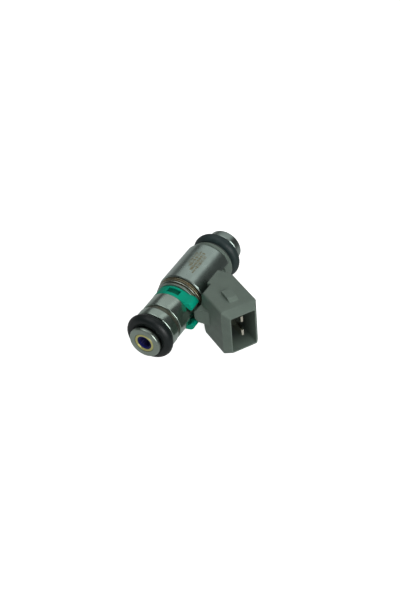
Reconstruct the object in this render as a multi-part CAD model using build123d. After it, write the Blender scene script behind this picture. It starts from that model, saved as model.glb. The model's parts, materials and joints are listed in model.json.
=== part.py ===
"""Short solenoid fuel injector with an angled two-way socket, one STEP file per sub-part.

The injector lies on its side. +Y runs along its axis in the spray direction, +X points to the
side that carries the socket, and +Z is up. The origin is the centre of the nozzle tip's end face.
Lengths are millimetres. A station is a distance along the axis from the inlet face.
"""
import math
import os

from build123d import *

# Overall
LENGTH = 49.25              # inlet face to nozzle tip
CORE_R = 3.80               # fixed core, and every bore pressed on it
FIT_GAP = 0.02              # between inner pieces that only touch

# Inlet end
FLANGE_R = 4.84
FLANGE_END = 1.05
COLLAR_R = 3.05
COLLAR_BORE_R = 2.25
COLLAR_END = 1.60
FILTER_BORE_R = 2.35
FILTER_BORE_END = 10.0
SPRING_BORE_R = 1.75
POLE_END = 27.0

# Filter
FILTER_START = 0.30
FILTER_END = 9.40
FILTER_R = 2.17
FILTER_INNER_R = 1.80
FILTER_CAP = 0.50
FILTER_WINDOW = 1.70        # width of each of the three mesh windows
SCREEN_T = 0.10

# Seals, as ring radius, cord radius and station
INLET_SEAL = (5.582, 1.718, 3.467)
NOZZLE_SEAL = (6.014, 1.711, 43.42)
CORE_SEAL = (4.96, 0.43, 23.86)
YOKE_SEAL = (4.96, 0.43, 33.75)

# Sleeves behind the inlet seal
SPACER_R = 6.60
SPACER_START = 5.20
SPACER_END = 8.13
GROOVE_R = 6.10
SLEEVE_START = 9.65
SLEEVE_R = 6.48
CLIP_SEAT_R = 5.60
CLIP_START = 15.07
CLIP_END = 18.77
CLIP_FLANGE_START = 18.85
CLIP_FLANGE_END = 19.65
CLIP_FLANGE_R = 7.00

# Retaining clip
CLIP_R = 6.52
CLIP_BORE_R = 5.66
CLIP_GAP_ANGLE = 46.0       # half the opening of the ring, from +X
CLIP_WINDOW_START = 16.05
CLIP_WINDOW_END = 18.00
CLIP_WINDOW_FROM = 67.0     # degrees from +X
CLIP_WINDOW_TO = 104.0
CLIP_WINDOW_FLOOR_R = 5.86  # a thin floor is left under the window
CLIP_EDGE = 0.12            # chamfer along its rims
TAB_ROOT_FROM = 62.0        # where a tab leaves the ring, degrees from +X
TAB_ROOT_TO = 44.0
TAB_ROOT_R = CLIP_BORE_R + 0.3

# Rings between the clip flange and the body
HUB_R = 6.60
LOCK_RING_R = 7.28
LOCK_RING_START = 19.95
LOCK_RING_END = 20.38
BAND_START = 20.55
BAND_END = 21.60
BAND_R = 7.42
BAND_STEP_R = 6.90

# Body shell and what it holds
SHELL_START = 21.85
SHELL_END = 39.10
SHELL_R = 7.78
SHELL_BORE_R = 6.70
SHELL_END_R = 6.96
SHOULDER_START = 37.95
SLOT_START = 23.60
SLOT_HALF = 3.25
SLOT_DEPTH = 3.20           # either side of the shell's outside
FLUX_WASHER_END = 23.40
GUIDE_R = 4.50              # outside of the nonmagnetic sleeve
GUIDE_END = 31.0
BOBBIN_START = 24.32
BOBBIN_END = 33.28
BOBBIN_R = 6.0
BOBBIN_FLANGE = 0.70
WINDING_INNER_R = 4.95
WINDING_R = 5.90
SEAL_GROOVE_R = 5.50        # plastic outside the two inner seals

# Nozzle end
YOKE_START = 34.22
YOKE_END = 39.0
ARMATURE_BORE_END = 34.4
NECK_R = 4.28
NEEDLE_BORE_R = 2.60
BODY_END = 48.2
END_RING_R = 7.04
END_RING_END = 40.5
BACKUP_R = 6.35
BACKUP_END = 41.68
CAP_START = 45.16
CAP_R = 5.42
CAP_MOUTH_R = 3.40

# Moving valve
LIFT_GAP = 0.15             # free travel before the armature meets the pole
ARMATURE_R = 3.74
ARMATURE_END = 33.4
SPRING_POCKET_R = 1.85
SPRING_SEAT = 30.4
NEEDLE_R = 1.10
NEEDLE_INNER_R = 0.60
NEEDLE_END = 44.7
NEEDLE_HOLE_R = 0.40
NEEDLE_HOLES = (35.4, 42.6)
ARMATURE_HOLE_R = 0.45
ARMATURE_HOLE_RING_R = 2.80
BALL_R = 1.50
BALL_STATION = 45.60
SEAT_GAP = 0.01
SEAT_START = 44.3
SEAT_END = 47.6
SEAT_GUIDE_R = 1.56
SEAT_HOLE_R = 0.60
SEAT_FLUTE_R = 0.35
PLATE_END = 47.85
SPRAY_HOLE_R = 0.13
SPRAY_RING_R = 0.38

# Spring load
ADJUSTER_START = 11.0
ADJUSTER_END = 17.0
ADJUSTER_BORE_R = 0.80
SPRING_R = 1.40             # to the middle of the wire
SPRING_WIRE_R = 0.22
SPRING_TURNS = 12

# Connector, drawn about the fold where its front starts to taper
SOCKET_ANGLE = 32.9         # of the socket's axis from +X towards the inlet
FOLD_X = 21.32
FOLD_STATION = 17.25
BOX_W = 11.35
BOX_H = 15.50
RIM_REACH = 2.40
RIM_W = 8.40
RIM_H = 12.90
MOUTH_W = 7.65
MOUTH_H = 11.95
POCKET_W = 6.70
POCKET_H = 11.10
POCKET_DEPTH = 7.10         # behind the fold
FAR_BACK = 12.75            # far wall, behind the fold
ROOT_X = 8.62               # body side of the root, level with the shell
FRONT_ROOT_X = 8.05         # body side of the root, in front of the shell
ROOT_STEP = 22.64
ROOT_END = 29.0
NECK_HALF = 3.05
KEY_HALF = 2.40
KEY_START = 16.45
KEY_FACE_X = 7.15
KEY_STEP_X = 8.60
CATCH_BACK = 7.0            # behind the fold
CATCH_FRONT = 2.1
CATCH_HALF = 1.45
CATCH_H = 1.20
LONG_EDGE_R = 0.6
MOUTH_CORNER_R = 0.5
PAD_START = 36.0
PAD_R = 7.35

# Terminals
BLADE_PITCH = 5.0
BLADE_W = 2.80
BLADE_T = 0.80
BLADE_SIDE = 0.80           # offset from the middle of the socket, towards the nozzle
BLADE_TIP = 0.20            # ahead of the fold
BLADE_BACK = 10.6
BLADE_TAPER = 1.10          # length of the tapered tip
BLADE_TAPER_IN = 0.45       # how far each side comes in over it
BLADE_BEVEL = 0.12
LEAD_X = 6.10
LEAD_STATION = 26.2
LEAD_HALF = 0.40
LEAD_W = 1.0


def y_at(station):
    """Row-frame Y of a station."""
    return station - LENGTH


def turned(*corners, rounds=()):
    """Solid turned about the axis from (radius, station) corners; rounds lists (corner, radius)."""
    face = make_face(Polyline([(r, y_at(s)) for r, s in corners], close=True))
    for (r, s), radius in rounds:
        corner = face.vertices().sort_by_distance((r, y_at(s), 0))[0]
        face = fillet(corner, radius)
    return revolve(face, Axis.Y)


def ring(inner, outer, start, end):
    """Plain ring with square edges."""
    return turned((inner, start), (outer, start), (outer, end), (inner, end))


def bevelled_ring(inner, outer, start, end, front, back):
    """Ring with an outer chamfer at each end."""
    return turned(
        (inner, start),
        (outer - front, start),
        (outer, start + front),
        (outer, end - back),
        (outer - back, end),
        (inner, end),
    )


def o_ring(ring_r, cord_r, station):
    """Torus about the axis."""
    section = Pos(ring_r, y_at(station)) * Circle(cord_r)
    return revolve(section, Axis.Y)


def slab(sketch, start, end):
    """Sketch drawn as (x, z), extruded between two stations."""
    plane = Plane(origin=(0, y_at(end), 0), x_dir=(1, 0, 0), z_dir=(0, -1, 0))
    return plane * extrude(sketch, end - start)


def outline(points):
    """Closed face through points."""
    return make_face(Polyline(points, close=True))


def axial_hole(radius, at_radius, angle, start, end):
    """Round bar parallel to the axis, used as a drill."""
    x = at_radius * math.cos(math.radians(angle))
    z = at_radius * math.sin(math.radians(angle))
    return slab(Pos(x, z) * Circle(radius), start, end)


# ---- inlet end ----

def make_inlet_tube():
    """Fixed core: inlet flange, seal neck, filter bore, spring bore and pole face."""
    return turned(
        (COLLAR_R, 0),
        (FLANGE_R, 0),
        (FLANGE_R, FLANGE_END),
        (FLANGE_R - 0.2, FLANGE_END + 0.2),
        (CORE_R, FLANGE_END + 0.2),
        (CORE_R, POLE_END),
        (SPRING_BORE_R, POLE_END),
        (SPRING_BORE_R, FILTER_BORE_END),
        (FILTER_BORE_R, FILTER_BORE_END),
        (FILTER_BORE_R, COLLAR_END),
        (COLLAR_R, COLLAR_END),
        rounds=[((FLANGE_R, 0), 0.35)],
    )


def make_filter_collar():
    """Pressed collar with a rolled inner lip."""
    return turned(
        (COLLAR_BORE_R, 0.12),
        (COLLAR_BORE_R + 0.12, 0),
        (COLLAR_R, 0),
        (COLLAR_R, COLLAR_END),
        (COLLAR_BORE_R, COLLAR_END),
    )


def make_filter_frame():
    """Basket closed at its far end, with three windows between its ribs."""
    basket = turned(
        (FILTER_INNER_R, FILTER_START),
        (COLLAR_BORE_R, FILTER_START),
        (COLLAR_BORE_R, COLLAR_END),
        (FILTER_R, COLLAR_END),
        (FILTER_R, FILTER_END),
        (0, FILTER_END),
        (0, FILTER_END - FILTER_CAP),
        (FILTER_INNER_R, FILTER_END - FILTER_CAP),
    )
    window = slab(Pos(FILTER_R, 0) * Rectangle(2, FILTER_WINDOW), COLLAR_END + 0.8, FILTER_END - 1.2)
    for turn in range(3):
        basket -= Rot(0, 120 * turn + 90, 0) * window
    return basket


def make_filter_screen():
    """Mesh tube lining the basket."""
    gap = FIT_GAP
    return ring(FILTER_INNER_R - SCREEN_T - gap, FILTER_INNER_R - gap, FILTER_START + 0.4,
                FILTER_END - FILTER_CAP - gap)


def make_adjusting_sleeve():
    """Sleeve pressed in the core to load the spring."""
    return bevelled_ring(ADJUSTER_BORE_R, SPRING_BORE_R, ADJUSTER_START, ADJUSTER_END, 0.2, 0.1)


def make_return_spring():
    """Compression spring between the adjusting sleeve and the armature."""
    first = ADJUSTER_END + SPRING_WIRE_R + FIT_GAP
    last = SPRING_SEAT - SPRING_WIRE_R - FIT_GAP
    path = Helix((last - first) / SPRING_TURNS, last - first, SPRING_R)
    section = Plane(path @ 0, z_dir=path % 0) * Circle(SPRING_WIRE_R)
    coil = sweep(section, path, is_frenet=True)
    return Pos(0, y_at(first), 0) * Rot(-90, 0, 0) * coil


def make_seal_spacer():
    """Short polished ring that backs the inlet seal."""
    return bevelled_ring(CORE_R, SPACER_R, SPACER_START, SPACER_END, 0.3, 0.1)


def make_upper_sleeve():
    """Sleeve with the step groove, the clip seat and the flange behind the clip."""
    return turned(
        (CORE_R, SPACER_END),
        (GROOVE_R, SPACER_END),
        (GROOVE_R, SLEEVE_START),
        (SLEEVE_R - 0.25, SLEEVE_START),
        (SLEEVE_R, SLEEVE_START + 0.3),
        (SLEEVE_R, CLIP_START - 0.08),
        (CLIP_SEAT_R, CLIP_START - 0.08),
        (CLIP_SEAT_R, CLIP_FLANGE_START),
        (CLIP_FLANGE_R - 0.15, CLIP_FLANGE_START),
        (CLIP_FLANGE_R, CLIP_FLANGE_START + 0.15),
        (CLIP_FLANGE_R, CLIP_FLANGE_END - 0.15),
        (CLIP_FLANGE_R - 0.15, CLIP_FLANGE_END),
        (CORE_R, CLIP_FLANGE_END),
    )


def polar(radius, angle):
    """Point at a radius and an angle in degrees from +X."""
    return (radius * math.cos(math.radians(angle)), radius * math.sin(math.radians(angle)))


def clip_tab():
    """Tab at one end of the clip, leaving the ring almost level and turning down at its tip."""
    lip, heel = (7.40, 2.95), (6.10, 3.05)
    back = Spline((4.35, 5.12), (5.60, 4.98), (6.60, 4.70), (7.25, 4.15), (7.52, 3.35), lip)
    tip = ThreePointArc(lip, (6.90, 2.62), heel)
    root = Polyline(heel, (5.30, 3.45), polar(TAB_ROOT_R, TAB_ROOT_TO), polar(TAB_ROOT_R, TAB_ROOT_FROM),
                    polar(CLIP_R, TAB_ROOT_FROM), (4.35, 5.12))
    return make_face([back, tip, root])


def make_retaining_clip():
    """Spring clip: an open ring in the sleeve's seat, two tabs and one window recess."""
    reach = 2 * SHELL_R
    gap = outline([(0, 0), polar(reach, CLIP_GAP_ANGLE), polar(reach, -CLIP_GAP_ANGLE)])
    clip = slab(Circle(CLIP_R) - Circle(CLIP_BORE_R) - gap, CLIP_START, CLIP_END)
    rims = clip.edges().filter_by(lambda e: e.length > 2 * CLIP_R)
    clip = chamfer(rims, CLIP_EDGE)
    clip += slab(clip_tab() + mirror(clip_tab(), Plane.XZ), CLIP_START, CLIP_END)
    window = outline([(0, 0), polar(reach, CLIP_WINDOW_FROM), polar(reach, CLIP_WINDOW_TO)])
    window -= Circle(CLIP_WINDOW_FLOOR_R)
    return clip - slab(window, CLIP_WINDOW_START, CLIP_WINDOW_END)


# ---- rings in front of the body ----

def make_lock_ring():
    """Thin bright ring on the hub of the crimp ring."""
    return bevelled_ring(HUB_R, LOCK_RING_R, LOCK_RING_START, LOCK_RING_END, 0.1, 0.1)


def make_crimp_ring():
    """Tarnished ring that closes the stack, with a hub in front and a step behind its band."""
    return turned(
        (CORE_R, CLIP_FLANGE_END),
        (HUB_R, CLIP_FLANGE_END),
        (HUB_R, BAND_START),
        (BAND_R - 0.15, BAND_START),
        (BAND_R, BAND_START + 0.15),
        (BAND_R, BAND_END - 0.15),
        (BAND_R - 0.15, BAND_END),
        (BAND_STEP_R, BAND_END),
        (BAND_STEP_R, SHELL_START),
        (CORE_R, SHELL_START),
    )


# ---- body and coil ----

def slot_bar(half, start, end):
    """Block on the socket side, used to cut or fill the shell's slot."""
    return slab(Pos(SHELL_R, 0) * Rectangle(2 * SLOT_DEPTH, 2 * half), start, end)


def make_body_shell():
    """Steel can with a bevelled mouth, a rounded shoulder and the socket's slot."""
    shell = turned(
        (SHELL_BORE_R, SHELL_START),
        (SHELL_R - 0.32, SHELL_START),
        (SHELL_R, SHELL_START + 0.32),
        (SHELL_R, SHOULDER_START),
        (SHELL_R - 0.12, SHOULDER_START + 0.42),
        (SHELL_R - 0.38, SHOULDER_START + 0.80),
        (SHELL_END_R, SHELL_END),
        (SHELL_BORE_R, SHELL_END),
    )
    return shell - slot_bar(SLOT_HALF, SLOT_START, SHELL_END + 1)


def make_flux_washer():
    """Steel washer that closes the magnetic path at the front of the can."""
    return ring(CORE_R, SHELL_BORE_R, SHELL_START, FLUX_WASHER_END)


def make_nonmagnetic_sleeve():
    """Thin sleeve from the fixed core across the working gap to the nozzle body."""
    return ring(CORE_R, GUIDE_R, FLUX_WASHER_END, GUIDE_END)


def make_coil_bobbin():
    """Nylon bobbin with two flanges."""
    return turned(
        (GUIDE_R, BOBBIN_START),
        (BOBBIN_R, BOBBIN_START),
        (BOBBIN_R, BOBBIN_START + BOBBIN_FLANGE),
        (WINDING_INNER_R, BOBBIN_START + BOBBIN_FLANGE),
        (WINDING_INNER_R, BOBBIN_END - BOBBIN_FLANGE),
        (BOBBIN_R, BOBBIN_END - BOBBIN_FLANGE),
        (BOBBIN_R, BOBBIN_END),
        (GUIDE_R, BOBBIN_END),
    )


def make_coil_winding():
    """Copper winding as one solid ring."""
    return ring(WINDING_INNER_R, WINDING_R, BOBBIN_START + BOBBIN_FLANGE, BOBBIN_END - BOBBIN_FLANGE)


# ---- connector ----

def socket_direction():
    """Unit vectors of the socket: out of its mouth, and across it towards the nozzle."""
    angle = math.radians(SOCKET_ANGLE)
    forward = Vector(math.cos(angle), -math.sin(angle), 0)
    across = Vector(math.sin(angle), math.cos(angle), 0)
    return forward, across


def socket_point(forward_mm, across_mm):
    """Row-frame (x, y) of a point given from the fold's middle."""
    forward, across = socket_direction()
    point = Vector(FOLD_X, y_at(FOLD_STATION), 0) + forward * forward_mm + across * across_mm
    return (point.X, point.Y)


def socket_plane(forward_mm):
    """Plane square to the socket's axis, its X across and its Y up."""
    forward, across = socket_direction()
    x, y = socket_point(forward_mm, 0)
    return Plane(origin=(x, y, 0), x_dir=across, z_dir=forward)


def tapered(w_back, h_back, back, w_mouth, h_mouth, corner_r):
    """Rectangle with rounded corners that tapers from a depth behind the fold to the mouth."""
    rear = socket_plane(-back) * RectangleRounded(w_back, h_back, corner_r)
    face = socket_plane(RIM_REACH) * RectangleRounded(w_mouth, h_mouth, corner_r)
    return loft([rear, face])


def connector_block():
    """Full-height block seen from above, from the body to the fold."""
    half = BOX_W / 2
    near_x = socket_point(0, -half)[0]
    near_back = (near_x - FRONT_ROOT_X) / math.cos(math.radians(SOCKET_ANGLE))
    plan = outline([
        (FRONT_ROOT_X, y_at(ROOT_STEP)),
        socket_point(-near_back, -half),
        socket_point(0, -half),
        socket_point(0, half),
        socket_point(-FAR_BACK, half),
        (ROOT_X, y_at(ROOT_END)),
        (ROOT_X, y_at(ROOT_STEP)),
    ])
    block = Pos(0, 0, -BOX_H / 2) * extrude(plan, BOX_H)
    long_edges = [
        edge for edge in block.edges()
        if abs(abs(edge.center().Z) - BOX_H / 2) < 0.01
        and abs(abs((edge % 0.5).dot(socket_direction()[0])) - 1) < 0.01
    ]
    return fillet(long_edges, LONG_EDGE_R)


def root_relief():
    """Material cut away above and below the root in front of the shell, which rounds it off."""
    above = BOX_H / 2 + 0.5
    top = (9.90, BOX_H / 2)
    foot = (FRONT_ROOT_X, 2.60)
    flank = Spline(top, (9.50, 7.40), (9.05, 6.50), (8.75, 4.70), foot)
    rest = Polyline(foot, (FRONT_ROOT_X - 1, 2.60), (FRONT_ROOT_X - 1, above), (9.90, above), top)
    upper = make_face([flank, rest])
    return slab(upper + mirror(upper, Plane.XZ), FOLD_STATION, ROOT_STEP)


def locating_key():
    """Key between the clip's tabs, with rounded corners towards the sleeve."""
    far_x = 12.0
    profile = outline([
        (KEY_FACE_X, 1.30),
        (8.25, KEY_HALF),
        (far_x, KEY_HALF),
        (far_x, -KEY_HALF),
        (8.25, -KEY_HALF),
        (KEY_FACE_X, -1.30),
    ])
    web = Pos((KEY_STEP_X + far_x) / 2, 0) * Rectangle(far_x - KEY_STEP_X, 2 * KEY_HALF)
    return slab(profile, KEY_START, CLIP_FLANGE_START - 0.1) + slab(web, KEY_START, ROOT_STEP)


def latch_catch():
    """Ramp on top of the box that the plug's spring wire clips behind."""
    side = outline([
        (-CATCH_BACK, 0),
        (-CATCH_BACK + 0.25, CATCH_H),
        (-CATCH_FRONT - 1.2, 0.75 * CATCH_H),
        (-CATCH_FRONT, 0),
    ])
    x, y = socket_point(0, CATCH_HALF - 0.1)
    forward, across = socket_direction()
    plane = Plane(origin=(x, y, BOX_H / 2), x_dir=forward, z_dir=-across)
    return plane * extrude(side, 2 * CATCH_HALF)


def overmould():
    """Plastic inside the can, with the neck through the slot, the rear pad and the end ring."""
    liner = ring(BOBBIN_R, SHELL_BORE_R, FLUX_WASHER_END, SHELL_END)
    end = bevelled_ring(NECK_R, END_RING_R, SHELL_END, END_RING_END, 0.05, 0.25)
    overlap = 0.1
    fill = ring(NECK_R, BOBBIN_R + overlap, YOKE_END, SHELL_END)
    neck_in, neck_out = BOBBIN_R, ROOT_X + overlap
    neck_section = Pos((neck_in + neck_out) / 2, 0) * Rectangle(neck_out - neck_in, 2 * NECK_HALF)
    neck = slab(neck_section, SLOT_START + 0.6, ROOT_END - overlap)
    pad = ring(SHELL_BORE_R - overlap, PAD_R, PAD_START, SHELL_END)
    pad &= slot_bar(SLOT_HALF - FIT_GAP, PAD_START, SHELL_END)
    front = ring(SEAL_GROOVE_R, BOBBIN_R + overlap, FLUX_WASHER_END, BOBBIN_START)
    rear = ring(SEAL_GROOVE_R, BOBBIN_R + overlap, BOBBIN_END, YOKE_START)
    return liner + end + fill + neck + pad + front + rear


def make_connector_housing(terminals):
    """Grey overmould with the angled socket, moulded round the terminals."""
    body = connector_block() - root_relief()
    body += tapered(BOX_W, BOX_H, 0, RIM_W, RIM_H, LONG_EDGE_R)
    body += locating_key() + latch_catch() + overmould()
    body -= tapered(POCKET_W, POCKET_H, POCKET_DEPTH, MOUTH_W, MOUTH_H, MOUTH_CORNER_R)
    for terminal in terminals:
        body -= terminal
    return body


def make_terminal(height):
    """Blade with a tapered tip, and the lead that runs back to the coil."""
    half = BLADE_W / 2
    blade = outline([
        (-BLADE_BACK, -half),
        (BLADE_TIP - BLADE_TAPER, -half),
        (BLADE_TIP, -half + BLADE_TAPER_IN),
        (BLADE_TIP, half - BLADE_TAPER_IN),
        (BLADE_TIP - BLADE_TAPER, half),
        (-BLADE_BACK, half),
    ])
    forward, across = socket_direction()
    x, y = socket_point(0, BLADE_SIDE + BLADE_T / 2)
    plane = Plane(origin=(x, y, height), x_dir=forward, z_dir=-across)
    bar = extrude(blade, BLADE_T)
    bar = chamfer(bar.edges().filter_by(Axis.Y).group_by(Axis.X)[-1], BLADE_BEVEL)
    joint = -BLADE_BACK + 0.6
    lead = outline([
        socket_point(joint, BLADE_SIDE - BLADE_T / 2),
        socket_point(joint, BLADE_SIDE + BLADE_T / 2),
        (9.2, y_at(LEAD_STATION + LEAD_HALF)),
        (LEAD_X, y_at(LEAD_STATION + LEAD_HALF)),
        (LEAD_X, y_at(LEAD_STATION - LEAD_HALF)),
        (9.0, y_at(LEAD_STATION - LEAD_HALF)),
    ])
    strip = Pos(0, 0, height - LEAD_W / 2) * extrude(lead, LEAD_W)
    return plane * bar + strip


# ---- nozzle end ----

def make_nozzle_body():
    """Lower body: armature bore, yoke flange, seal neck and needle bore."""
    return turned(
        (CORE_R, GUIDE_END),
        (GUIDE_R, GUIDE_END),
        (GUIDE_R, YOKE_START),
        (BOBBIN_R, YOKE_START),
        (BOBBIN_R, YOKE_END),
        (NECK_R, YOKE_END),
        (NECK_R, BODY_END),
        (NEEDLE_BORE_R, BODY_END),
        (NEEDLE_BORE_R, ARMATURE_BORE_END),
        (CORE_R, ARMATURE_BORE_END),
    )


def make_backup_ring():
    """Support ring in front of the nozzle seal."""
    return bevelled_ring(NECK_R, BACKUP_R, END_RING_END, BACKUP_END, 0.1, 0.3)


def make_nozzle_cap():
    """Cap round the tip, with a rounded rim and a flared mouth."""
    return turned(
        (NECK_R, CAP_START),
        (CAP_R - 0.2, CAP_START),
        (CAP_R, CAP_START + 0.2),
        (CAP_R, LENGTH),
        (CAP_MOUTH_R + 0.35, LENGTH),
        (CAP_MOUTH_R, LENGTH - 0.5),
        (CAP_MOUTH_R, BODY_END),
        (NECK_R, BODY_END),
        rounds=[((CAP_R, LENGTH), 0.35)],
    )


def make_armature():
    """Plunger with the spring pocket and four fuel holes."""
    plunger = turned(
        (SPRING_POCKET_R, POLE_END + LIFT_GAP),
        (ARMATURE_R, POLE_END + LIFT_GAP),
        (ARMATURE_R, ARMATURE_END),
        (NEEDLE_R, ARMATURE_END),
        (NEEDLE_R, SPRING_SEAT),
        (SPRING_POCKET_R, SPRING_SEAT),
    )
    for turn in range(4):
        plunger -= axial_hole(ARMATURE_HOLE_R, ARMATURE_HOLE_RING_R, 45 + 90 * turn, POLE_END, SEAT_START)
    return plunger


def ball():
    """Sphere on the seat."""
    return Pos(0, y_at(BALL_STATION), 0) * Sphere(BALL_R)


def make_valve_needle():
    """Tube welded to the ball, with cross holes for the fuel."""
    tube = ring(NEEDLE_INNER_R, NEEDLE_R, SPRING_SEAT, NEEDLE_END)
    for station in NEEDLE_HOLES:
        tube -= Pos(0, y_at(station), 0) * Cylinder(NEEDLE_HOLE_R, 4 * NEEDLE_R)
    return tube - ball()


def make_valve_ball():
    """Ball that closes the seat."""
    return ball()


def make_valve_seat():
    """Seat with a guide bore, four fuel grooves, the sealing cone and the metering hole."""
    cone_sum = BALL_STATION + math.sqrt(2) * (BALL_R + SEAT_GAP)
    seat = turned(
        (SEAT_GUIDE_R, SEAT_START),
        (NEEDLE_BORE_R, SEAT_START),
        (NEEDLE_BORE_R, SEAT_END),
        (SEAT_HOLE_R, SEAT_END),
        (SEAT_HOLE_R, cone_sum - SEAT_HOLE_R),
        (SEAT_GUIDE_R, cone_sum - SEAT_GUIDE_R),
    )
    for turn in range(4):
        seat -= axial_hole(SEAT_FLUTE_R, SEAT_GUIDE_R + 0.1, 90 * turn, SEAT_START, BALL_STATION + 0.4)
    return seat


def make_orifice_plate():
    """Thin plate with four spray holes."""
    plate = turned((0, SEAT_END), (NEEDLE_BORE_R, SEAT_END), (NEEDLE_BORE_R, PLATE_END), (0, PLATE_END))
    for turn in range(4):
        plate -= axial_hole(SPRAY_HOLE_R, SPRAY_RING_R, 45 + 90 * turn, SEAT_END, PLATE_END)
    return plate


def main():
    """Build every node and write its STEP file."""
    os.makedirs("parts", exist_ok=True)
    terminals = {
        "terminal_upper": make_terminal(BLADE_PITCH / 2),
        "terminal_lower": make_terminal(-BLADE_PITCH / 2),
    }
    nodes = {
        "inlet_tube": make_inlet_tube(),
        "filter_collar": make_filter_collar(),
        "filter_frame": make_filter_frame(),
        "filter_screen": make_filter_screen(),
        "adjusting_sleeve": make_adjusting_sleeve(),
        "return_spring": make_return_spring(),
        "inlet_o_ring": o_ring(*INLET_SEAL),
        "seal_spacer": make_seal_spacer(),
        "upper_sleeve": make_upper_sleeve(),
        "retaining_clip": make_retaining_clip(),
        "lock_ring": make_lock_ring(),
        "crimp_ring": make_crimp_ring(),
        "body_shell": make_body_shell(),
        "flux_washer": make_flux_washer(),
        "nonmagnetic_sleeve": make_nonmagnetic_sleeve(),
        "core_seal": o_ring(*CORE_SEAL),
        "coil_bobbin": make_coil_bobbin(),
        "coil_winding": make_coil_winding(),
        "yoke_seal": o_ring(*YOKE_SEAL),
        "connector_housing": make_connector_housing(terminals.values()),
        "nozzle_body": make_nozzle_body(),
        "backup_ring": make_backup_ring(),
        "nozzle_o_ring": o_ring(*NOZZLE_SEAL),
        "nozzle_cap": make_nozzle_cap(),
        "armature": make_armature(),
        "valve_needle": make_valve_needle(),
        "valve_ball": make_valve_ball(),
        "valve_seat": make_valve_seat(),
        "orifice_plate": make_orifice_plate(),
        **terminals,
    }
    for name, solid in nodes.items():
        export_step(solid, f"parts/{name}.step")


main()
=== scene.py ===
"""Looks of the fuel injector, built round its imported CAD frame. Metres, in the CAD's own frame."""
import json
import math
import random

import bmesh
import bpy
from mathutils import Matrix, Vector, noise


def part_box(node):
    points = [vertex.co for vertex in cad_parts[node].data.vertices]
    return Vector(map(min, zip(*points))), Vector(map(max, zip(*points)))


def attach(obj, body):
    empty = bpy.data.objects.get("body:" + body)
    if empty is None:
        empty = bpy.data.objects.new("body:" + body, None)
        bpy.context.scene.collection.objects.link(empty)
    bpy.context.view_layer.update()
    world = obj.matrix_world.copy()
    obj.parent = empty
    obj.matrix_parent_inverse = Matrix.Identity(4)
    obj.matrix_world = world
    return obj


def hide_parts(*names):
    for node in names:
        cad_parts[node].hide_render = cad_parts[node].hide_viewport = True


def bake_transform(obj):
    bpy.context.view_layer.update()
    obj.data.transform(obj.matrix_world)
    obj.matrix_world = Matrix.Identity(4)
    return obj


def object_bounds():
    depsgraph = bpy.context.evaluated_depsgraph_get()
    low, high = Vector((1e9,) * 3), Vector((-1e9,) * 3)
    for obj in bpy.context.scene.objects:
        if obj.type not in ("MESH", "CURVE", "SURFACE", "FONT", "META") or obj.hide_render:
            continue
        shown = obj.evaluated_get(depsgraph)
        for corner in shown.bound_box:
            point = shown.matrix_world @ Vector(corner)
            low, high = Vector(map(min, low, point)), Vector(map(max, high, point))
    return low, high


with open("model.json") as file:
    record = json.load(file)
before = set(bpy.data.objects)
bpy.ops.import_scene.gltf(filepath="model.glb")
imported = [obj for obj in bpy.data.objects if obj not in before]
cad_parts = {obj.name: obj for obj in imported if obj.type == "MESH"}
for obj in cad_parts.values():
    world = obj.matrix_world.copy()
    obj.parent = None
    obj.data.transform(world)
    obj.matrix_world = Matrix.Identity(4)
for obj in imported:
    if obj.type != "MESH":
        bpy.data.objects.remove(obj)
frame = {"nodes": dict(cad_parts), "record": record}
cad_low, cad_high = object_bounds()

MM = 0.001
BODY = "injector"
SEGMENTS = 144              # round a turned piece
BEVEL_SEGMENTS = 3          # across a softened edge
FLAT = 0.6                  # faces that meet under this many degrees are joined
WELD = 1e-7                 # points closer than this are one, in metres
CORE_R = 3.80 * MM          # outside of the fixed core
HUB_R = 6.60 * MM           # hub of the rings in front of the can
NECK_R = 4.28 * MM          # outside of the nozzle's neck


# ---- mesh helpers ----

def span(node):
    """First station, last station and outer radius of a round CAD node."""
    low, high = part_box(node)
    return low.y, high.y, high.x


def rounded(corners, steps=5):
    """Closed loop of (radius, y) points; each corner is (radius, y, rounding)."""
    loop = []
    for i, (r, y, rounding) in enumerate(corners):
        here = Vector((r, y))
        if rounding <= 0:
            loop.append(here)
            continue
        to_last = (Vector(corners[i - 1][:2]) - here).normalized()
        to_next = (Vector(corners[(i + 1) % len(corners)][:2]) - here).normalized()
        half = to_last.angle(to_next) / 2
        centre = here + (to_last + to_next).normalized() * rounding / math.sin(half)
        start = here + to_last * rounding / math.tan(half) - centre
        end = here + to_next * rounding / math.tan(half) - centre
        turn = math.atan2(start.x * end.y - start.y * end.x, start.dot(end))
        for k in range(steps + 1):
            c, s = math.cos(turn * k / steps), math.sin(turn * k / steps)
            loop.append(centre + Vector((start.x * c - start.y * s, start.x * s + start.y * c)))
    return loop


def lathe(loop, warp=None):
    """Closed loop of (radius, y) turned about the Y axis; warp(r, y, angle) may move each point."""
    bm = bmesh.new()
    rings = []
    for k in range(SEGMENTS):
        angle = 2 * math.pi * k / SEGMENTS
        ring = []
        for r, y in loop:
            if warp:
                r, y = warp(r, y, angle)
            ring.append(bm.verts.new((r * math.cos(angle), y, r * math.sin(angle))))
        rings.append(ring)
    for k, ring in enumerate(rings):
        following = rings[(k + 1) % SEGMENTS]
        for i in range(len(loop)):
            j = (i + 1) % len(loop)
            bm.faces.new((ring[i], ring[j], following[j], following[i]))
    bmesh.ops.remove_doubles(bm, verts=bm.verts, dist=WELD)
    return bm


def uneven(amount, scale, seed):
    """Warp that roughens a turned piece by noise; scale is how fine the noise is round the axis."""
    lengthwise = 1.3            # scale along the axis, per millimetre

    def warp(r, y, angle):
        at = Vector((math.cos(angle) * scale, math.sin(angle) * scale, y / MM * lengthwise + seed))
        return r - amount * (0.5 + 0.5 * noise.noise(at)), y

    return warp


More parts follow.
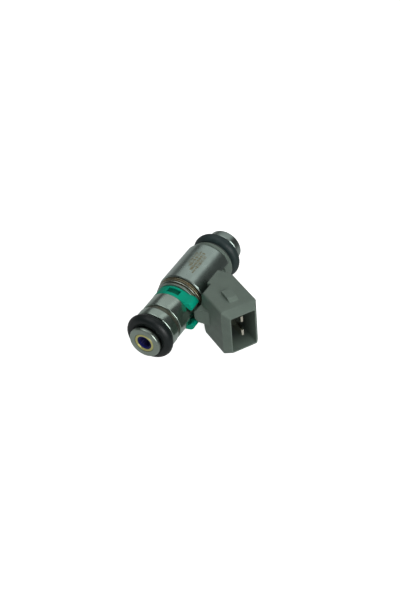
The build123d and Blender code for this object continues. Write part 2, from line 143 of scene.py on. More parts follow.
def node_mesh(node):
    """The CAD node's own mesh, with its points joined."""
    bm = bmesh.new()
    bm.from_mesh(frame["nodes"][node].data)
    bmesh.ops.remove_doubles(bm, verts=bm.verts, dist=WELD)
    return bm


def softened(node, bevel, sharp=24):
    """The CAD node's own shape with the edges that turn more than sharp degrees rounded."""
    bm = node_mesh(node)
    bmesh.ops.dissolve_limit(bm, angle_limit=math.radians(FLAT), verts=bm.verts, edges=bm.edges)
    edges = [e for e in bm.edges if len(e.link_faces) == 2
             and e.calc_face_angle(0) > math.radians(sharp)]
    bmesh.ops.bevel(bm, geom=edges, offset=bevel, segments=BEVEL_SEGMENTS, profile=0.5,
                    affect="EDGES", clamp_overlap=True)
    return bm


def piece(name, bm, slot, replaces=(), look=None, smooth=32, weighted=False, stretch=None):
    """Object made from the mesh. It rides on the injector's body, unless stretch is given.

    look names its material, if that isn't the slot's own. stretch's points are not used; given at
    all, it leaves the object unattached.
    """
    bmesh.ops.recalc_face_normals(bm, faces=bm.faces)
    mesh = bpy.data.meshes.new(name)
    bm.to_mesh(mesh)
    bm.free()
    mesh.materials.append(looks[look or slot])
    mesh.shade_smooth()
    mesh.set_sharp_from_angle(angle=math.radians(smooth))
    made = bpy.data.objects.new(name, mesh)
    bpy.context.scene.collection.objects.link(made)
    if weighted:
        modifier = made.modifiers.new("weighted", "WEIGHTED_NORMAL")
        modifier.keep_sharp = True
    if stretch:
        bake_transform(made)
    else:
        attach(made, BODY)
    if replaces:
        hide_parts(*replaces)


# ---- material helpers ----

def set_range(node, low, high, first, last):
    """Limits of a Map Range node."""
    limits = {"From Min": low, "From Max": high, "To Min": first, "To Max": last}
    for key, value in limits.items():
        node.inputs[key].default_value = value


def rgb(r, g, b):
    return (r, g, b, 1.0)


def scaled(colour, factor):
    """The colour, darker or lighter by this factor."""
    return rgb(*[min(1.0, factor * v) for v in colour[:3]])


class Shader:
    """A material's node tree with a Principled shader."""

    def __init__(self, name, **values):
        self.material = bpy.data.materials.new(name)
        self.material.use_nodes = True
        self.tree = self.material.node_tree
        self.tree.nodes.clear()
        out = self.tree.nodes.new("ShaderNodeOutputMaterial")
        self.shader = self.tree.nodes.new("ShaderNodeBsdfPrincipled")
        self.link(self.shader.outputs[0], out.inputs[0])
        for key, value in values.items():
            self.shader.inputs[key.replace("_", " ")].default_value = value
        self.coords = self.tree.nodes.new("ShaderNodeTexCoord").outputs["Object"]

    def link(self, a, b):
        self.tree.links.new(a, b)

    def feed(self, socket, value):
        """Links the value if it is a socket, and sets it if it is a number or colour."""
        if isinstance(value, bpy.types.NodeSocket):
            self.link(value, socket)
        else:
            socket.default_value = value

    def node(self, kind, **inputs):
        """New node; its inputs are values or sockets, by name."""
        made = self.tree.nodes.new("ShaderNode" + kind)
        for key, value in inputs.items():
            self.feed(made.inputs[key.replace("_", " ")], value)
        return made

    def stretched(self, x, y, z):
        """Object coordinates with each axis scaled, per millimetre."""
        made = self.node("Mapping", Vector=self.coords)
        made.inputs["Scale"].default_value = (x / MM, y / MM, z / MM)
        return made.outputs[0]

    def along(self, direction):
        """Object coordinates measured along one direction, in metres."""
        made = self.tree.nodes.new("ShaderNodeVectorMath")
        made.operation = "DOT_PRODUCT"
        self.link(self.coords, made.inputs[0])
        made.inputs[1].default_value = direction
        return made.outputs["Value"]

    def noise(self, x, y, z, detail=3.0, roughness=0.5):
        """Noise with its scale along each axis, per millimetre."""
        return self.node("TexNoise", Vector=self.stretched(x, y, z), Scale=1.0, Detail=detail,
                         Roughness=roughness).outputs[0]

    def grain(self, scale, detail=3.0, roughness=0.5):
        """Noise that is the same along all three axes."""
        return self.noise(scale, scale, scale, detail, roughness)

    def bands(self, direction, x, y, z, scale):
        """Regular bands across one direction."""
        made = self.node("TexWave", Vector=self.stretched(x, y, z), Scale=scale)
        made.bands_direction = direction
        return made.outputs["Fac"]

    def ramp(self, value, low, high, first=0.0, last=1.0):
        """The value, mapped from low..high to first..last."""
        made = self.node("MapRange", Value=value)
        set_range(made, low, high, first, last)
        return made.outputs[0]

    def mix(self, factor, a, b):
        """Colour a where the factor is 0 and colour b where it is 1."""
        made = self.tree.nodes.new("ShaderNodeMix")
        made.data_type = "RGBA"
        self.feed(made.inputs[0], factor)
        self.feed(made.inputs[6], a)
        self.feed(made.inputs[7], b)
        return made.outputs[2]

    def maths(self, operation, a, b=0.0):
        made = self.tree.nodes.new("ShaderNodeMath")
        made.operation = operation
        self.feed(made.inputs[0], a)
        self.feed(made.inputs[1], b)
        return made.outputs[0]

    def times(self, a, b):
        return self.maths("MULTIPLY", a, b)

    def bump(self, height, depth):
        """Relief of this depth in metres."""
        return self.node("Bump", Height=height, Distance=depth, Strength=1.0).outputs[0]

    def finish(self, colour, roughness=None, normal=None, metallic=None):
        """The material, with what is given linked to its shader."""
        for key, socket in (("Base Color", colour), ("Roughness", roughness), ("Normal", normal),
                            ("Metallic", metallic)):
            if socket is not None:
                self.link(socket, self.shader.inputs[key])
        return self.material


# ---- kinds of material; colours are rgb, depths of relief are in metres ----

def steel(name, base, dark, rough, lines, depth, blotch):
    """Worked steel; lines is the scale of its machining marks along x, y and z, per millimetre."""
    s = Shader(name, Metallic=1.0)
    marks = s.noise(*lines, detail=2.0, roughness=0.4)
    fine = s.noise(*[3 * v for v in lines], detail=1.0)
    stain = s.grain(blotch, detail=2.0)
    grime = s.grain(0.5, detail=2.0)
    scratched = s.maths("ADD", s.times(marks, 0.5), s.times(fine, 0.5))
    shade = s.times(s.ramp(stain, 0.30, 0.65, 0.5, 1.0), s.ramp(scratched, 0.35, 0.65, 0.6, 1.0))
    wear = s.ramp(grime, 0.3, 0.7, rough * 1.10, rough * 0.92)
    height = s.maths("ADD", marks, s.times(fine, 0.3))
    return s.finish(s.mix(shade, dark, base), wear, s.bump(height, depth))


def plastic(name, base, pale, rough, grain, depth, flecks, shine, painted_shade):
    """Moulded plastic with flow marks, grain and a few pale flecks; painted_shade darkens its hollow
    as painted shade.
    """
    dirt_shade, fleck_shade, recess_shade = 0.72, 2.2, 0.22
    s = Shader(name, IOR=1.50, Specular_IOR_Level=shine)
    flow = s.noise(0.16, 0.16, 0.45)
    grains = s.grain(grain, roughness=0.6)
    dirt = s.grain(1.1, detail=6.0, roughness=0.7)
    colour = s.mix(s.ramp(flow, 0.35, 0.7), base, pale)
    colour = s.mix(s.ramp(dirt, 0.58, 0.80, 0.0, 0.5), colour, scaled(base, dirt_shade))
    if flecks:
        specks = s.grain(5.5, detail=1.0)
        colour = s.mix(s.ramp(specks, 0.70, 0.78, 0.0, flecks), colour, scaled(pale, fleck_shade))
    # painted shade: the hollow is darkened towards recess_shade of the base colour
    if painted_shade:
        colour = s.mix(painted_shade(s), colour, scaled(base, recess_shade))
    roughness = s.ramp(s.maths("ADD", grains, dirt), 0.7, 1.4, rough * 0.85, rough * 1.2)
    return s.finish(colour, roughness, s.bump(grains, depth))


def socket_shade_mask(s):
    """How deep in the socket's pocket a point lies, 0 to 1: the mask of the painted shade that
    darkens the pocket.
    """
    turn = math.radians(32.9)                       # of the socket, away from +X
    fold = Vector((21.32 * MM, -32.0 * MM, 0.0))    # where the socket turns, on its axis
    half_width, half_height = 3.84 * MM, 5.99 * MM  # of the space that is darkened
    deep, mouth = -4.0 * MM, 1.2 * MM               # stations, measured from the fold
    # painted shade: the pocket's plastic is darkened deeper in, standing in for its shade
    darkest = 0.92
    forward = (math.cos(turn), -math.sin(turn), 0.0)
    across = (math.sin(turn), math.cos(turn), 0.0)
    depth = s.maths("SUBTRACT", s.along(forward), fold.dot(forward))
    side = s.maths("ABSOLUTE", s.maths("SUBTRACT", s.along(across), fold.dot(across)))
    height = s.maths("ABSOLUTE", s.along((0.0, 0.0, 1.0)))
    inside = s.times(s.maths("LESS_THAN", side, half_width),
                     s.maths("LESS_THAN", height, half_height))
    return s.times(inside, s.ramp(depth, deep, mouth, darkest, 0.0))


def window_shade_mask(s):
    """How far below the clip's outside a point of its upper half lies, 0 to 1: the mask of the
    painted shade on the window's floor.
    """
    floor_r, outside_r = 5.90 * MM, 6.42 * MM
    tabs_top = 4.5 * MM                             # the recess lies above this height
    # painted shade: the window's floor is darkened, standing in for its shade
    darkest = 0.85
    x, z = s.along((1.0, 0.0, 0.0)), s.along((0.0, 0.0, 1.0))
    radius = s.maths("SQRT", s.maths("ADD", s.times(x, x), s.times(z, z)))
    upper = s.maths("GREATER_THAN", z, tabs_top)
    return s.times(upper, s.ramp(radius, floor_r, outside_r, darkest, 0.0))


def rubber(name, base, bloomed, rough):
    """Moulded seal rubber with faint bloom, moulding grain and a little dust."""
    dust_colour = rgb(0.09, 0.10, 0.09)
    s = Shader(name, IOR=1.50, Specular_IOR_Level=0.40)
    bloom = s.noise(0.5, 0.9, 0.5, detail=5.0, roughness=0.65)
    grain = s.grain(6.0, detail=2.0)
    dust = s.grain(3.2, detail=2.0)
    colour = s.mix(s.ramp(bloom, 0.35, 0.75), base, bloomed)
    colour = s.mix(s.ramp(dust, 0.74, 0.84, 0.0, 0.35), colour, dust_colour)
    wear = s.ramp(bloom, 0.3, 0.7, rough * 1.1, rough * 0.9)
    return s.finish(colour, wear, s.bump(grain, 0.0025 * MM))


def tarnished(name):
    """Steel gone olive brown, with rust in patches."""
    s = Shader(name)
    patches = s.noise(0.75, 1.4, 0.75, detail=6.0, roughness=0.7)
    pits = s.noise(5.0, 9.0, 5.0, detail=4.0, roughness=0.65)
    turned = s.noise(0.1, 9.0, 0.1)
    metal = s.mix(s.ramp(turned, 0.3, 0.7), rgb(0.17, 0.16, 0.10), rgb(0.38, 0.37, 0.26))
    rust = s.mix(s.ramp(pits, 0.35, 0.7), rgb(0.075, 0.045, 0.015), rgb(0.26, 0.145, 0.045))
    amount = s.ramp(patches, 0.50, 0.66)
    height = s.maths("ADD", s.times(pits, amount), s.times(turned, 0.2))
    return s.finish(s.mix(amount, metal, rust), s.ramp(amount, 0.0, 1.0, 0.36, 0.75),
                    s.bump(height, 0.012 * MM), s.ramp(amount, 0.0, 1.0, 0.9, 0.2))


def wound(name):
    """Enamelled copper wire in close turns."""
    s = Shader(name, Metallic=0.9)
    turns = s.bands("Y", 0.0, 1.0, 0.0, 1.6)
    shade = s.noise(0.8, 3.0, 0.8)
    colour = s.mix(s.ramp(shade, 0.3, 0.7), rgb(0.42, 0.13, 0.04), rgb(0.62, 0.24, 0.09))
    return s.finish(colour, s.ramp(shade, 0.3, 0.7, 0.3, 0.42), s.bump(turns, 0.1 * MM))


def woven(name):
    """Fine blue nylon mesh."""
    s = Shader(name, IOR=1.50)
    along = s.bands("Y", 0.0, 1.0, 0.0, 2.6)
    across = s.bands("DIAGONAL", 1.0, 0.0, 1.0, 2.6)
    weave = s.times(along, across)
    colour = s.mix(weave, rgb(0.004, 0.003, 0.05), rgb(0.012, 0.010, 0.16))
    return s.finish(colour, s.ramp(weave, 0.0, 1.0, 0.6, 0.4), s.bump(weave, 0.03 * MM))


def speckled(name):
    """Dull steel with pale specks of oxide."""
    s = Shader(name, Metallic=0.85)
    specks = s.noise(4.5, 6.0, 4.5, roughness=0.7)
    stain = s.grain(0.5)
    colour = s.mix(s.ramp(stain, 0.35, 0.65), rgb(0.20, 0.24, 0.21), rgb(0.32, 0.39, 0.35))
    colour = s.mix(s.ramp(specks, 0.56, 0.76), colour, rgb(0.60, 0.66, 0.60))
    return s.finish(colour, s.ramp(specks, 0.3, 0.7, 0.30, 0.45), s.bump(specks, 0.003 * MM))


def grease_and_shade(name):
    """Unpolished steel at the bottom of a groove, with brown grease; its dark colours are painted
    shade of the groove.
    """
    s = Shader(name, Metallic=0.8)
    grease = s.noise(0.6, 1.5, 0.6, detail=4.0, roughness=0.6)
    turned = s.noise(0.06, 6.0, 0.06, detail=2.0)
    # painted shade: these dark colours stand in for the groove's shade; the brown patches are grease
    colour = s.mix(s.ramp(turned, 0.3, 0.7), rgb(0.10, 0.11, 0.085), rgb(0.20, 0.23, 0.19))
    colour = s.mix(s.ramp(grease, 0.48, 0.66, 0.0, 0.8), colour, rgb(0.11, 0.085, 0.05))
    return s.finish(colour, s.ramp(grease, 0.3, 0.7, 0.34, 0.5), s.bump(turned, 0.002 * MM))


def etched(name):
    """Laser-marked steel, tan and dull."""
    s = Shader(name, Metallic=0.8)
    dots = s.grain(9.0, detail=2.0)
    colour = s.mix(s.ramp(dots, 0.35, 0.65), rgb(0.21, 0.185, 0.10), rgb(0.35, 0.33, 0.21))
    return s.finish(colour, s.ramp(dots, 0.3, 0.7, 0.60, 0.48), s.bump(dots, 0.002 * MM))


# ---- materials, by slot ----

TURNED = (0.06, 9.0, 0.06)      # machining marks round the axis
DRAWN = (5.0, 0.12, 5.0)        # brushing along the axis
ROLLED = (1.0, 1.0, 14.0)       # brushing across the blades

# base colour, stained colour, roughness, marks, relief in millimetres, scale of the stains
METALS = {
    "turned_steel": (rgb(0.40, 0.48, 0.42), rgb(0.29, 0.34, 0.29), 0.29, TURNED, 0.0012, 0.3),
    "sleeve_steel": (rgb(0.42, 0.52, 0.46), rgb(0.35, 0.43, 0.38), 0.24, TURNED, 0.0005, 0.3),
    "shell_steel": (rgb(0.42, 0.52, 0.475), rgb(0.32, 0.40, 0.365), 0.29, DRAWN, 0.0010, 0.2),
    "ring_steel": (rgb(0.46, 0.52, 0.46), rgb(0.22, 0.23, 0.19), 0.34, TURNED, 0.0015, 1.4),
    "cap_steel": (rgb(0.36, 0.44, 0.41), rgb(0.26, 0.32, 0.29), 0.31, TURNED, 0.0012, 0.3),
    "valve_steel": (rgb(0.56, 0.60, 0.57), rgb(0.40, 0.43, 0.41), 0.22, TURNED, 0.0010, 0.3),
    "spring_steel": (rgb(0.40, 0.40, 0.40), rgb(0.25, 0.25, 0.26), 0.30, DRAWN, 0.0010, 0.3),
    "terminal_tin": (rgb(0.94, 0.92, 0.80), rgb(0.74, 0.70, 0.54), 0.22, ROLLED, 0.0010, 0.3),
    "collar_brass": (rgb(0.78, 0.76, 0.32), rgb(0.60, 0.57, 0.22), 0.36, TURNED, 0.0012, 0.3),
}

# base colour, paler colour, roughness, scale of the grain, relief in millimetres,
# amount of flecks, shine, function that paints shade into its hollow
PLASTICS = {
    "clip_plastic": (rgb(0.0, 0.345, 0.215), rgb(0.0, 0.410, 0.260), 0.50, 3.0, 0.0020,
                     0.0, 0.12, window_shade_mask),
    "housing_plastic": (rgb(0.145, 0.190, 0.160), rgb(0.165, 0.215, 0.180), 0.50, 5.0, 0.0035,
                        0.30, 0.40, socket_shade_mask),
    "backup_plastic": (rgb(0.045, 0.058, 0.052), rgb(0.065, 0.080, 0.072), 0.50, 5.0, 0.0030,
                       0.2, 0.5, None),
    "bobbin_plastic": (rgb(0.012, 0.012, 0.012), rgb(0.02, 0.02, 0.02), 0.45, 5.0, 0.0030,
                       0.0, 0.5, None),
    "filter_plastic": (rgb(0.005, 0.008, 0.090), rgb(0.008, 0.012, 0.135), 0.30, 3.0, 0.0015,
                       0.0, 0.3, None),
}

# base colour, bloomed colour, roughness
RUBBERS = {
    "seal_rubber": (rgb(0.004, 0.008, 0.008), rgb(0.008, 0.014, 0.014), 0.42),
    "inner_rubber": (rgb(0.006, 0.007, 0.007), rgb(0.011, 0.012, 0.012), 0.42),
    "bloomed_rubber": (rgb(0.018, 0.034, 0.034), rgb(0.028, 0.048, 0.048), 0.46),
}

# materials with a function of their own
OTHERS = {
    "tarnished_steel": tarnished,
    "copper_winding": wound,
    "filter_mesh": woven,
    "speckled_steel": speckled,
    "grimy_steel": grease_and_shade,
    "etched_steel": etched,
}


def make_looks():
    """Every material of the injector, by name."""
    made = {}
    for name, (base, stained, rough, marks, relief, stains) in METALS.items():
        made[name] = steel(name, base, stained, rough, marks, relief * MM, stains)
    for name, (base, pale, rough, grain, relief, flecks, shine, painted_shade) in PLASTICS.items():
        made[name] = plastic(name, base, pale, rough, grain, relief * MM, flecks, shine, painted_shade)
    for name, row in RUBBERS.items():
        made[name] = rubber(name, *row)
    for name, make in OTHERS.items():
        made[name] = make(name)
    return made


looks = make_looks()


# ---- inlet end ----

def inlet_tube():
    """Fixed core with its inlet flange and the seal's neck."""
    front, back, flange_r = span("inlet_tube")
    _, collar_back, collar_r = span("filter_collar")
    spring_bore = span("adjusting_sleeve")[2]
    filter_bore, filter_end = 2.35 * MM, front + 10 * MM
    flange_back = front + 1.05 * MM
    cone = 0.2 * MM             # behind the flange
    seat_r = collar_r + 0.01 * MM
    loop = rounded([
        (seat_r, front + 0.05 * MM, 0),
        (collar_r + 0.12 * MM, front, 0.04 * MM),
        (flange_r, front, 0.46 * MM),
        (flange_r, flange_back, 0.10 * MM),
        (flange_r - cone, flange_back + cone, 0.05 * MM),
        (CORE_R, flange_back + cone, 0.1 * MM),
        (CORE_R, back, 0.08 * MM),
        (spring_bore, back, 0.08 * MM),
        (spring_bore, filter_end, 0),
        (filter_bore, filter_end, 0),
        (filter_bore, collar_back, 0),
        (seat_r, collar_back, 0),
    ])
    piece("fuel_inlet_tube", lathe(loop), "turned_steel", ["inlet_tube"])


def filter_collar():
    """Pressed brass collar with a rolled lip."""
    front, back, outer = span("filter_collar")
    bore = 2.25 * MM
    lip_front = front + 0.02 * MM
    lip_r = outer - 0.10 * MM
    loop = rounded([
        (bore, lip_front, 0.20 * MM),
        (lip_r, lip_front, 0.24 * MM),
        (outer, front + 0.45 * MM, 0.05 * MM),
        (outer, back, 0),
        (bore, back, 0),
    ], 7)
    piece("inlet_collar", lathe(loop), "collar_brass", ["filter_collar"])


def filter_basket():
    """Blue basket with a softened lip."""
    bm = softened("filter_frame", 0.05 * MM)
    piece("blue_basket", bm, "filter_plastic", ["filter_frame"], weighted=True)


def seal(name, node, look):
    """Seal ring with a fine moulding line and a faintly uneven surface."""
    front, back, outer = span(node)
    cord = (back - front) / 2
    middle = (front + back) / 2
    ring_r = outer - cord
    steps = 40                  # points round the cord
    line = 0.018 * MM           # height of the moulding line
    line_width = 0.05           # as a part of the cord's radius
    swell = 0.012 * MM          # greatest unevenness
    waves, lengthwise = 3.1, 120
    loop = []
    for k in range(steps):
        angle = 2 * math.pi * k / steps
        loop.append(Vector((ring_r + cord * math.cos(angle), middle + cord * math.sin(angle))))

    def warp(r, y, angle):
        along = (y - middle) / cord
        ridge = line * math.exp(-(along / line_width) ** 2)
        at = Vector((math.cos(angle), math.sin(angle), y * lengthwise)) * waves
        push = 1 if r > ring_r else -1
        return r + push * (ridge - line) + swell * noise.noise(at) - swell, y

    piece(name, lathe(loop, warp), "seal_rubber", [node], look, smooth=50)


def return_spring():
    """Coil spring held in the core at one end, its other end carried by the armature."""
    first, last, _ = span("return_spring")
    held = 0.6 * MM             # end coil that doesn't give
    gives = (0, first + held, 0), (0, last - held, 0)
    piece("valve_spring", node_mesh("return_spring"), "spring_steel", ["return_spring"],
          stretch=gives)


def seal_spacer():
    """Polished ring, rounded towards the inlet."""
    front, back, outer = span("seal_spacer")
    loop = rounded([
        (CORE_R, front, 0),
        (outer, front, 0.32 * MM),
        (outer, back, 0.14 * MM),
        (CORE_R, back, 0),
    ])
    piece("spacer_ring", lathe(loop), "sleeve_steel", ["seal_spacer"])


def upper_sleeve():
    """Groove, polished sleeve with the clip's seat, and the flange behind the clip."""
    front, back, flange_r = span("upper_sleeve")
    clip_front = span("retaining_clip")[0]
    sleeve_front = front + 1.52 * MM
    seat_front = clip_front - 0.08 * MM
    flange_front = back - 0.80 * MM
    groove_r, sleeve_r, seat_r = 6.10 * MM, 6.48 * MM, 5.60 * MM
    edge = 0.26 * MM
    groove = rounded([
        (CORE_R, front, 0),
        (groove_r, front, 0.05 * MM),
        (groove_r, sleeve_front, 0),
        (CORE_R, sleeve_front, 0),
    ])
    # the groove's material darkens it with painted shade, with patches of grease
    piece("step_groove", lathe(groove, uneven(0.02 * MM, scale=4, seed=3)), "sleeve_steel",
          look="grimy_steel")
    sleeve = rounded([
        (CORE_R, sleeve_front, 0),
        (sleeve_r, sleeve_front, edge),
        (sleeve_r, seat_front, 0.06 * MM),
        (seat_r, seat_front, 0.05 * MM),
        (seat_r, flange_front, 0),
        (CORE_R, flange_front, 0),
    ])
    piece("polished_sleeve", lathe(sleeve), "sleeve_steel", ["upper_sleeve"])
    flange = rounded([
        (CORE_R, flange_front, 0),
        (flange_r, flange_front, edge),
        (flange_r, back, edge),
        (CORE_R, back, 0),
    ])
    piece("clip_flange", lathe(flange, uneven(0.03 * MM, scale=5, seed=9)), "sleeve_steel",
          look="speckled_steel")


def clip():
    """Green spring clip with softened edges."""
    bm = softened("retaining_clip", 0.10 * MM)
    piece("green_clip", bm, "clip_plastic", ["retaining_clip"], weighted=True)


# ---- rings in front of the body ----

def lock_ring():
    """Thin bright ring with a crowned edge."""
    front, back, outer = span("lock_ring")
    side_r = outer - 0.10 * MM
    loop = rounded([
        (HUB_R, front, 0),
        (side_r, front, 0.04 * MM),
        (outer, (front + back) / 2, 0.10 * MM),
        (side_r, back, 0.04 * MM),
        (HUB_R, back, 0),
    ])
    piece("bright_ring", lathe(loop, uneven(0.02 * MM, scale=4, seed=1)), "ring_steel",
          ["lock_ring"])


def crimp_ring():
    """Tarnished band with a rolled groove, its hub and the step behind it."""
    front, back, outer = span("crimp_ring")
    step_r = 6.90 * MM
    band_front = front + 0.90 * MM
    band_back = back - 0.25 * MM
    middle = (band_front + band_back) / 2
    slant = 0.16 * MM           # bevel of the band's edges
    crest_r, groove_r = outer - 0.02 * MM, outer - 0.28 * MM
    mouth, bottom = 0.15 * MM, 0.06 * MM    # half widths of the groove
    soft, tight = 0.05 * MM, 0.03 * MM
    loop = rounded([
        (CORE_R, front, 0),
        (HUB_R, front, soft),
        (HUB_R, band_front, soft),
        (outer - slant, band_front, soft),
        (outer, band_front + slant, 0.06 * MM),
        (crest_r, middle - mouth, soft),
        (groove_r, middle - bottom, tight),
        (groove_r, middle + bottom, tight),
        (crest_r, middle + mouth, soft),
        (outer, band_back - slant, 0.06 * MM),
        (outer - slant, band_back, soft),
        (step_r, band_back, soft),
        (step_r, back, 0),
        (CORE_R, back, 0),
    ])
    piece("tarnished_band", lathe(loop, uneven(0.05 * MM, scale=9, seed=5)), "tarnished_steel",
          ["crimp_ring"], smooth=40)


# ---- body ----

def body_shell():
    """Brushed can with softened edges round its mouth, shoulder and slot."""
    bm = softened("body_shell", 0.07 * MM)
    piece("body_can", bm, "shell_steel", ["body_shell"], weighted=True)


def etched_marks():
    """Rows of plain dashes, squares and ticks, laser marked on top of the can."""
    front, _, outer = span("body_shell")
    # degrees round from +X, and first and last station in millimetres
    rows = [(96.0, 7.0, 12.2), (89.0, 5.6, 13.0), (81.0, 4.2, 12.8), (73.5, 3.4, 11.6)]
    height = 0.90 * MM
    lengths = (0.12, 0.18, 0.18, 0.45)
    heights = (0.5, 1.0, 1.0, 1.0)          # as parts of the row's height
    gaps = (0.12, 0.18, 0.26)
    chance = random.Random(7)
    bm = bmesh.new()
    for angle, start, end in rows:
        y = front + start * MM
        while y < front + end * MM:
            length = chance.choice(lengths) * MM
            tall = height * chance.choice(heights)
            add_patch(bm, outer, angle, y, length, tall)
            y += length + chance.choice(gaps) * MM
    piece("etched_marks", bm, "shell_steel", look="etched_steel")


def add_patch(bm, radius, angle, y, length, height):
    """Thin closed patch on a cylinder: angle in degrees from +X, height round the cylinder."""
    sunk, proud = 0.02 * MM, 0.006 * MM
    steps = 3
    half = height / radius / 2
    layers = []
    for r in (radius - sunk, radius + proud):
        grid = []
        for k in range(steps + 1):
            a = math.radians(angle) - half + 2 * half * k / steps
            x, z = r * math.cos(a), r * math.sin(a)
            grid.append([bm.verts.new((x, y + dy, z)) for dy in (0, length)])
        layers.append(grid)
    low, high = layers
    for grid in layers:
        for k in range(steps):
            bm.faces.new((grid[k][0], grid[k][1], grid[k + 1][1], grid[k + 1][0]))
    for k in range(steps):
        for side in (0, 1):
            bm.faces.new((low[k][side], low[k + 1][side], high[k + 1][side], high[k][side]))
    for end in (0, steps):
        bm.faces.new((low[end][0], low[end][1], high[end][1], high[end][0]))


# ---- connector ----

def connector():
    """Grey overmould with its socket, edges softened as moulded."""
    bm = softened("connector_housing", 0.16 * MM, sharp=30)
    piece("grey_housing", bm, "housing_plastic", ["connector_housing"], weighted=True)


def terminals():
    """Tin-plated blades with softened edges."""
    for node in ("terminal_upper", "terminal_lower"):
        bm = softened(node, 0.08 * MM)
        piece(node.replace("terminal", "blade"), bm, "terminal_tin", [node], weighted=True)


# ---- nozzle end ----

def backup_ring():
    """Support ring in front of the far seal."""
    front, back, outer = span("backup_ring")
    bevel, cone = 0.12 * MM, 0.30 * MM      # its front and back edge
    loop = rounded([
        (NECK_R, front, 0),
        (outer - bevel, front, 0.05 * MM),
        (outer, front + bevel, 0.05 * MM),
        (outer, back - cone, 0.12 * MM),
        (outer - cone, back, 0.10 * MM),
        (NECK_R, back, 0),
    ])
    piece("support_ring", lathe(loop), "backup_plastic", ["backup_ring"])


def nozzle_cap():
    """Steel cap round the tip, with a rounded rim and a flared mouth."""
    front, back, outer = span("nozzle_cap")
    mouth_r, shoulder_r = 3.40 * MM, 5.08 * MM
    waist_r = shoulder_r + 0.14 * MM
    waist_end, rim_front = front + 1.26 * MM, front + 1.56 * MM
    flare, mouth_front = 0.35 * MM, back - 0.5 * MM
    body_end = span("nozzle_body")[1]
    loop = rounded([
        (NECK_R, front, 0),
        (shoulder_r, front, 0.08 * MM),
        (waist_r, waist_end, 0.06 * MM),
        (outer, rim_front, 0.10 * MM),
        (outer, back, 0.35 * MM),
        (mouth_r + flare, back, 0.12 * MM),
        (mouth_r, mouth_front, 0.08 * MM),
        (mouth_r, body_end, 0),
        (NECK_R, body_end, 0),
    ], 6)
    piece("tip_cap", lathe(loop), "cap_steel", ["nozzle_cap"])


# ---- studio ----

def pale_floor():
    """Plain pale paper, as wide as any view."""
    half = 3.0                      # of its width
    glow = 0.92
    bm = bmesh.new()
    bmesh.ops.create_grid(bm, x_segments=8, y_segments=8, size=half)
    mesh = bpy.data.meshes.new("floor")
    bm.to_mesh(mesh)
    bm.free()
    floor = bpy.data.objects.new("floor", mesh)
    floor.location.z = cad_low.z
    bpy.context.scene.collection.objects.link(floor)
    s = Shader("floor_paper", Roughness=0.9)
    fibres = s.grain(0.02)
    s.shader.inputs["Emission Strength"].default_value = glow
    s.shader.inputs["Emission Color"].default_value = rgb(1.0, 1.0, 1.0)
    paper = s.mix(fibres, rgb(0.72, 0.72, 0.71), rgb(0.76, 0.76, 0.75))
    floor.data.materials.append(s.finish(paper))
    floor.visible_glossy = False
    floor.visible_diffuse = False


def tent():
    """Surroundings that are plain white behind the object, and light it more from below."""
    upwards = (0.25, 0.0, 1.0)      # leans a little to the socket's side
    low, high = -0.22, 0.08         # heights between which the light fades
    below, above = 0.42, 0.08       # its strength there
    world = bpy.data.worlds.new("tent")
    bpy.context.scene.world = world
    world.use_nodes = True
    tree = world.node_tree
    background = tree.nodes["Background"]
    background.inputs["Color"].default_value = rgb(1.0, 1.0, 1.0)
    height = tree.nodes.new("ShaderNodeVectorMath")
    height.operation = "DOT_PRODUCT"
    coords = tree.nodes.new("ShaderNodeTexCoord")
    tree.links.new(coords.outputs["Generated"], height.inputs[0])
    height.inputs[1].default_value = upwards
    ramp = tree.nodes.new("ShaderNodeMapRange")
    ramp.interpolation_type = "SMOOTHSTEP"
    tree.links.new(height.outputs["Value"], ramp.inputs["Value"])
    set_range(ramp, low, high, below, above)
    seen = tree.nodes.new("ShaderNodeLightPath")
    plain = tree.nodes.new("ShaderNodeMath")
    plain.operation = "MAXIMUM"
    tree.links.new(ramp.outputs[0], plain.inputs[0])
    tree.links.new(seen.outputs["Is Camera Ray"], plain.inputs[1])
    tree.links.new(plain.outputs[0], background.inputs["Strength"])


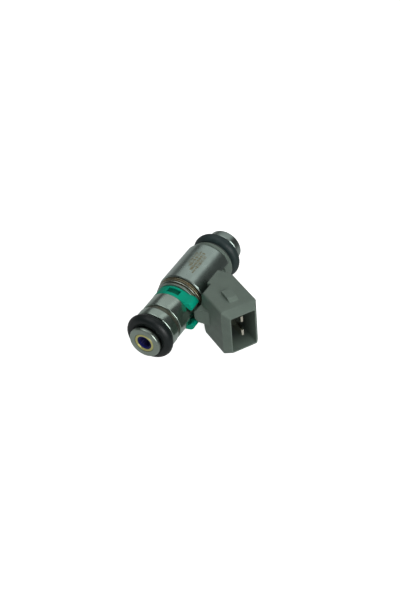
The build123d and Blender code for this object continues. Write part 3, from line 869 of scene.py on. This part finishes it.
def area_light(name, direction, distance, size, radiance):
    """Soft rectangle aimed at the injector; size is across and along, in metres."""
    target = (cad_low + cad_high) / 2
    towards = Vector(direction).normalized()
    light = bpy.data.lights.new(name, "AREA")
    light.shape = "RECTANGLE"
    light.size, light.size_y = size
    light.energy = radiance * size[0] * size[1] * math.pi
    lamp = bpy.data.objects.new(name, light)
    lamp.location = target + towards * distance
    lamp.rotation_mode = "QUATERNION"
    lamp.rotation_quaternion = towards.to_track_quat("Z", "Y")
    bpy.context.scene.collection.objects.link(lamp)


def lights():
    """Five soft rectangles."""
    area_light("back_softbox", (-0.145, 0.651, 0.745), 0.60, (0.735, 0.42), 0.53)
    area_light("edge_strip", (0.284, 0.651, 0.704), 0.60, (0.14, 0.42), 0.26)
    area_light("key", (0.78, -0.45, 0.43), 0.65, (0.46, 0.46), 4.2)
    area_light("overhead", (-0.19, -0.17, 0.97), 0.75, (0.60, 0.60), 1.20)
    area_light("low_fill", (0.55, -0.80, 0.05), 0.70, (0.40, 0.30), 0.8)


def camera():
    """Camera at the object's three-quarter view from the inlet side."""
    lens_per_long_side = 1.95039
    place = Vector((0.14434, -0.24817, 0.21819))
    right = Vector((0.8757, 0.4775, -0.0720))
    up = Vector((-0.2589, 0.5900, 0.7647))
    ahead = Vector((-0.4076, 0.6511, -0.6403))
    data = bpy.data.cameras.new("camera")
    data.sensor_width = 36.0
    data.sensor_fit = "AUTO"
    data.lens = data.sensor_width * lens_per_long_side
    data.clip_start = 0.01
    data.clip_end = 10.0
    eye = bpy.data.objects.new("camera", data)
    turn = Matrix((right, up, -ahead)).transposed().to_4x4()
    eye.matrix_world = Matrix.Translation(place) @ turn
    bpy.context.scene.collection.objects.link(eye)
    bpy.context.scene.camera = eye


def dress_frame():
    """Gives every CAD node its finish; the ones that are replaced stay hidden."""
    for row in frame["record"]["subparts"]:
        mesh = frame["nodes"][row["node"]].data
        mesh.materials.clear()
        mesh.materials.append(looks[row["material_slot"]])


camera()
dress_frame()
inlet_tube()
filter_collar()
filter_basket()
seal("inlet_seal", "inlet_o_ring", "seal_rubber")
return_spring()
seal_spacer()
upper_sleeve()
clip()
lock_ring()
crimp_ring()
body_shell()
etched_marks()
connector()
terminals()
backup_ring()
seal("nozzle_seal", "nozzle_o_ring", "bloomed_rubber")
nozzle_cap()
pale_floor()
tent()
lights()
bpy.context.scene.view_settings.view_transform = "Standard"
